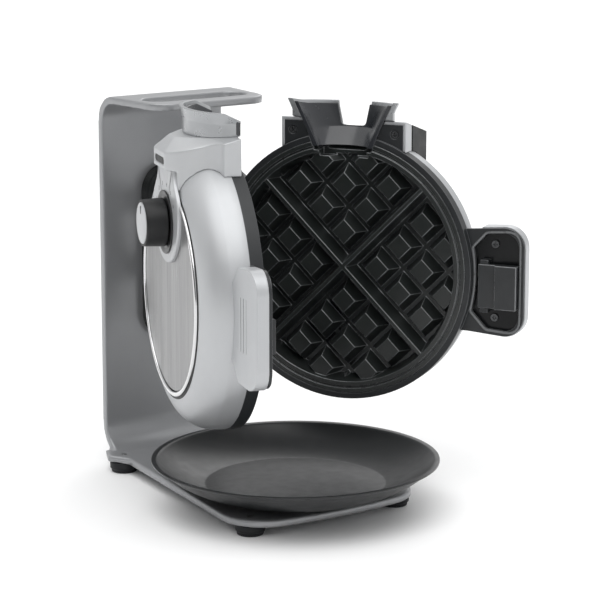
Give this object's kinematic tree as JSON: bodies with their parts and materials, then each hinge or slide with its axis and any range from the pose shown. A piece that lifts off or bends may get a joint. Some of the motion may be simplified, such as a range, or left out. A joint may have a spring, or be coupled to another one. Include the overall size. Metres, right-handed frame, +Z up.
{
  "type": "belgian waffle maker",
  "caption": "Upright waffle maker: round heated halves hinged like a book on a bent silver stand, with a batter funnel on top and a round catch tray beneath.",
  "frame": {"origin": "on the worktop, under the middle of the catch tray, in the stand's middle plane", "axes": "+Z up out of the base, -Y to the front where the halves open, +X to the right seen from the front"},
  "size_m": [0.2701, 0.29, 0.2953],
  "materials": {
    "silver_paint": "satin silver paint",
    "black_rubber": "matte",
    "screw_steel": "plain",
    "dish_black": "semi-gloss black enamel",
    "bracket_black": "satin black",
    "pin_steel": "turned",
    "frame_grey": "dark grey, fine grain",
    "nonstick_black": "black non-stick coating",
    "element_steel": "heat-tinted",
    "reflector_aluminium": "mill finish",
    "shell_silver": "satin silver lacquer",
    "insert_steel": "fine brushed",
    "funnel_dark": "semi-gloss dark grey",
    "panel_silver": "satin",
    "ring_black": "satin",
    "knob_black": "fine grain",
    "cap_grey": "satin",
    "control_black": "plain",
    "window_dark": "smoked",
    "lamp_red": "clear red",
    "latch_grey": "fine grain",
    "cord_black": "fine grain"
  },
  "bodies": {
    "stand": {"stand": "silver_paint", "foot_front_left": "black_rubber", "foot_front_right": "black_rubber", "foot_rear_left": "black_rubber", "foot_rear_right": "black_rubber", "foot_screws": "screw_steel", "hinge_bracket": "bracket_black", "bracket_screws": "screw_steel", "hinge_pin": "pin_steel"},
    "tray": {"catch_tray": "dish_black"},
    "right_half": {"right_frame": "frame_grey", "right_cooking_plate": "nonstick_black", "right_heating_element": "element_steel", "right_reflector": "reflector_aluminium", "right_shell": "shell_silver", "right_insert": "insert_steel", "right_head": "shell_silver", "right_funnel": "funnel_dark", "right_collar": "shell_silver", "right_handle": "shell_silver", "right_screws": "screw_steel", "latch_pin": "screw_steel", "cord_housing": "cord_black"},
    "left_half": {"left_frame": "frame_grey", "left_cooking_plate": "nonstick_black", "left_heating_element": "element_steel", "left_reflector": "reflector_aluminium", "left_shell": "shell_silver", "left_insert": "insert_steel", "left_head": "shell_silver", "left_funnel": "funnel_dark", "left_collar": "shell_silver", "left_handle": "shell_silver", "left_screws": "screw_steel", "control_panel": "panel_silver", "dial_ring": "ring_black", "thermostat": "control_black", "indicator_window": "window_dark", "indicator_lamps": "lamp_red", "latch_keeper": "latch_grey"},
    "knob": {"knob": "knob_black", "knob_cap": "cap_grey", "knob_shaft": "pin_steel"},
    "latch_lever": {"latch_lever": "latch_grey"}
  },
  "joints": [
    {"name": "right_half_hinge", "type": "hinge", "parent": "stand", "child": "right_half", "pos_m": [0, 0.15465, 0.1634], "axis": [0, 0, 1], "range_deg": [-33.4, 11.6]},
    {"name": "left_half_hinge", "type": "hinge", "parent": "stand", "child": "left_half", "pos_m": [0, 0.15465, 0.1634], "axis": [0, 0, -1], "range_deg": [-17.6, 27.4]},
    {"name": "knob_turn", "type": "hinge", "parent": "left_half", "child": "knob", "pos_m": [-0.08424, 0.04289, 0.2139], "axis": [-0.9532, 0.3024, 0], "range_deg": [-135, 135]},
    {"name": "latch_swing", "type": "hinge", "parent": "right_half", "child": "latch_lever", "pos_m": [0.13989, -0.04298, 0.1562], "axis": [0, 0, 1], "range_deg": [0, 5], "stiffness_Nm_per_rad": 0.1, "springref_deg": -5.73},
    {"name": "tray_slide", "type": "slide", "parent": "stand", "child": "tray", "axis": [0, -1, 0], "range_m": [0, 0.06]}
  ]
}
